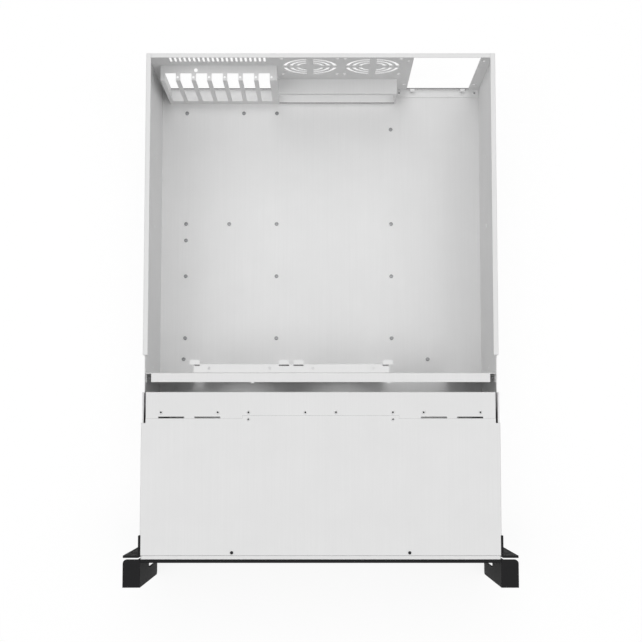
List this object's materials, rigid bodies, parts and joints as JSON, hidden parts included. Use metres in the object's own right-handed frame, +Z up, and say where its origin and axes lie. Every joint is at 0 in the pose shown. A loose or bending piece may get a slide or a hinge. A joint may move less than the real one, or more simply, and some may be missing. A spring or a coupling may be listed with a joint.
{
  "type": "rackmount server chassis",
  "caption": "Open rackmount chassis of folded steel: floor and side walls, slotted rear panel with fan grilles, fan wall, drive cages, fixed front cover, black ears and handles.",
  "frame": {"origin": "below the middle of the whole object, on the plane of its underside", "axes": "+X to the right seen from the front, +Y from the front to the rear, +Z up"},
  "size_m": [0.4826, 0.665, 0.1786],
  "materials": {
    "galvanised_steel": "satin galvanised sheet",
    "black_steel": "fine matt black powder coat",
    "zinc_fasteners": "bright zinc plate",
    "black_plastic": "matt moulded plastic",
    "circuit_board": "green solder mask",
    "clear_plastic": "clear moulded plastic"
  },
  "bodies": {
    "chassis": {"base_tray": "galvanised_steel", "rear_panel": "galvanised_steel", "slot_frame": "galvanised_steel", "io_frame": "galvanised_steel", "cross_bar": "galvanised_steel", "fan_wall": "galvanised_steel", "lid_ledge": "galvanised_steel", "front_cover": "galvanised_steel", "front_frame": "galvanised_steel", "drive_cage_1": "galvanised_steel", "drive_cage_2": "galvanised_steel", "drive_cage_3": "galvanised_steel", "drive_cage_4": "galvanised_steel", "front_panel": "black_steel", "rack_ear_right": "black_steel", "rack_ear_left": "black_steel", "handle_right": "black_steel", "handle_left": "black_steel", "board_inserts": "zinc_fasteners", "rear_rivets": "zinc_fasteners", "bar_screws": "zinc_fasteners", "ledge_rivets": "zinc_fasteners", "cover_fasteners": "zinc_fasteners", "ear_screws": "zinc_fasteners", "board_spacers": "zinc_fasteners", "push_switches": "black_plastic", "control_board": "circuit_board", "light_pipes": "clear_plastic"},
    "power_button": {"power_button": "black_plastic"},
    "reset_button": {"reset_button": "black_plastic"}
  },
  "joints": [
    {"name": "power_button_press", "type": "slide", "parent": "chassis", "child": "power_button", "axis": [0, 1, 0], "range_m": [0, 0.0015], "stiffness_N_per_m": 800},
    {"name": "reset_button_press", "type": "slide", "parent": "chassis", "child": "reset_button", "axis": [0, 1, 0], "range_m": [0, 0.0015], "stiffness_N_per_m": 800}
  ]
}
